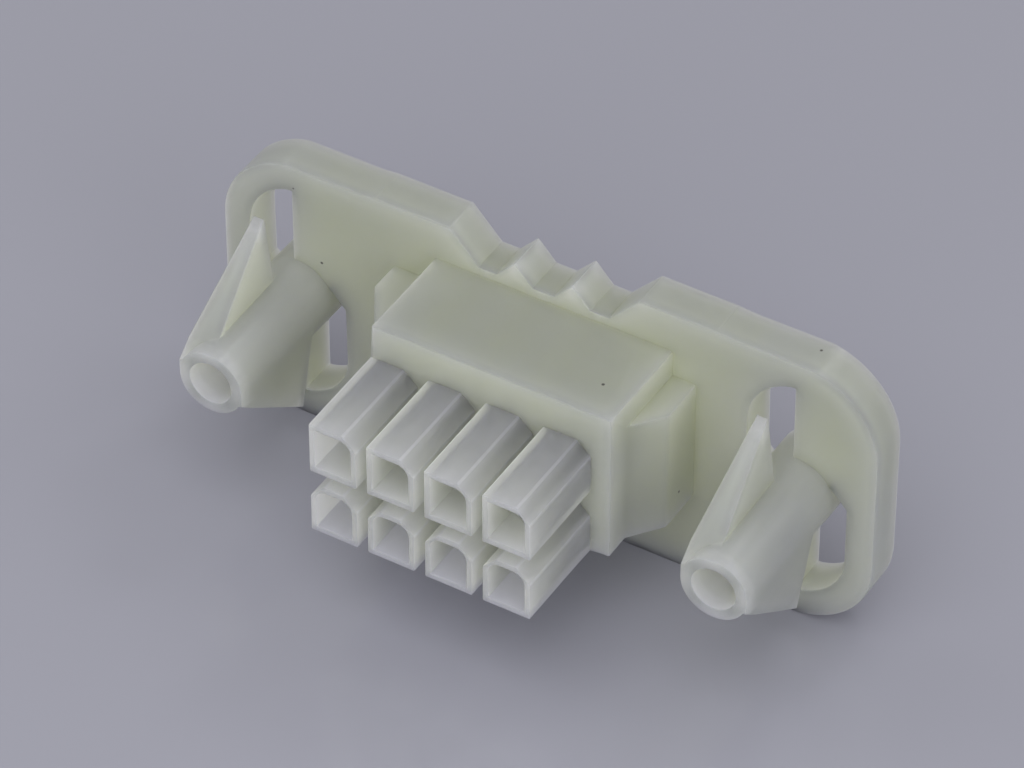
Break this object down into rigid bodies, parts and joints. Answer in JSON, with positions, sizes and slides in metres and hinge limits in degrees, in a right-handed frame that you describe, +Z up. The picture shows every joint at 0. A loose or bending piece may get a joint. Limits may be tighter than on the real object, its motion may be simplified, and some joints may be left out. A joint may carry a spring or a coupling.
{
  "type": "panel-mount socket header housing",
  "caption": "Panel-mount socket header housing moulded in natural nylon: rounded flange with a toothed notch, nose with keyed contact silos, and hollow guide posts with retaining fins.",
  "frame": {"origin": "midway between the axes of the two guide posts, in the plane of the flange's front face", "axes": "+X along the flange to the right seen from the mating side, -Y out of the mating side along the posts and silos, +Z up towards the notched edge"},
  "size_m": [0.048, 0.02, 0.0208],
  "materials": {
    "natural_nylon": "satin, slightly translucent natural nylon"
  },
  "bodies": {
    "root": {"housing": "natural_nylon"}
  },
  "joints": []
}
